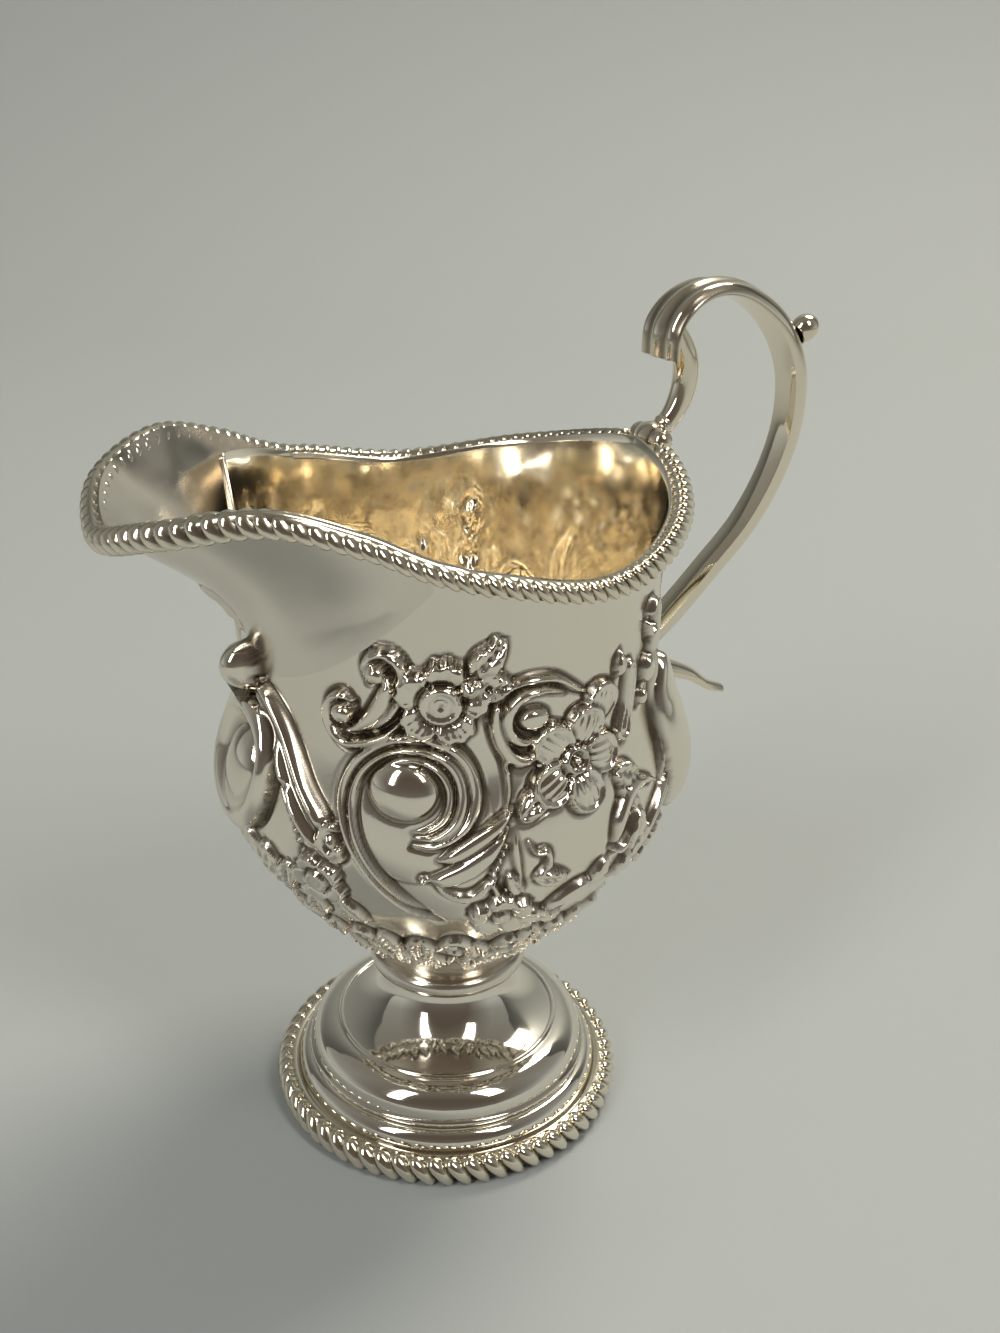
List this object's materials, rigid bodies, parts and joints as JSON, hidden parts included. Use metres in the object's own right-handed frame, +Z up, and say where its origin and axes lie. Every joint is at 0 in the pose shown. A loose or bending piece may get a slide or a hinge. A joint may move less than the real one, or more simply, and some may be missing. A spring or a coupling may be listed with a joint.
{
  "type": "cream jug",
  "caption": "Small silver cream jug with a chased bowl, a wide lip, a gadrooned mouth and foot, and a high scroll handle",
  "frame": {"origin": "centre of the foot, on the table", "axes": "+Z up, -X towards the lip, +X towards the handle; the XZ plane is the plane of symmetry"},
  "size_m": [0.12, 0.0698, 0.1337],
  "materials": {
    "chased_silver": "polished silver, chased, with darkened recesses and a gilt inside",
    "polished_silver": "bright polished silver",
    "border_silver": "polished gadroon wire with darkened grooves",
    "cast_silver": "polished cast silver"
  },
  "bodies": {
    "root": {"body": "chased_silver", "lip": "polished_silver", "rim_border": "border_silver", "collar": "polished_silver", "foot": "polished_silver", "foot_border": "border_silver", "rim_socket": "cast_silver", "handle_hook": "cast_silver", "handle_scroll": "cast_silver", "thumb_bud": "cast_silver", "body_pad": "cast_silver", "handle_tail": "cast_silver"}
  },
  "joints": []
}
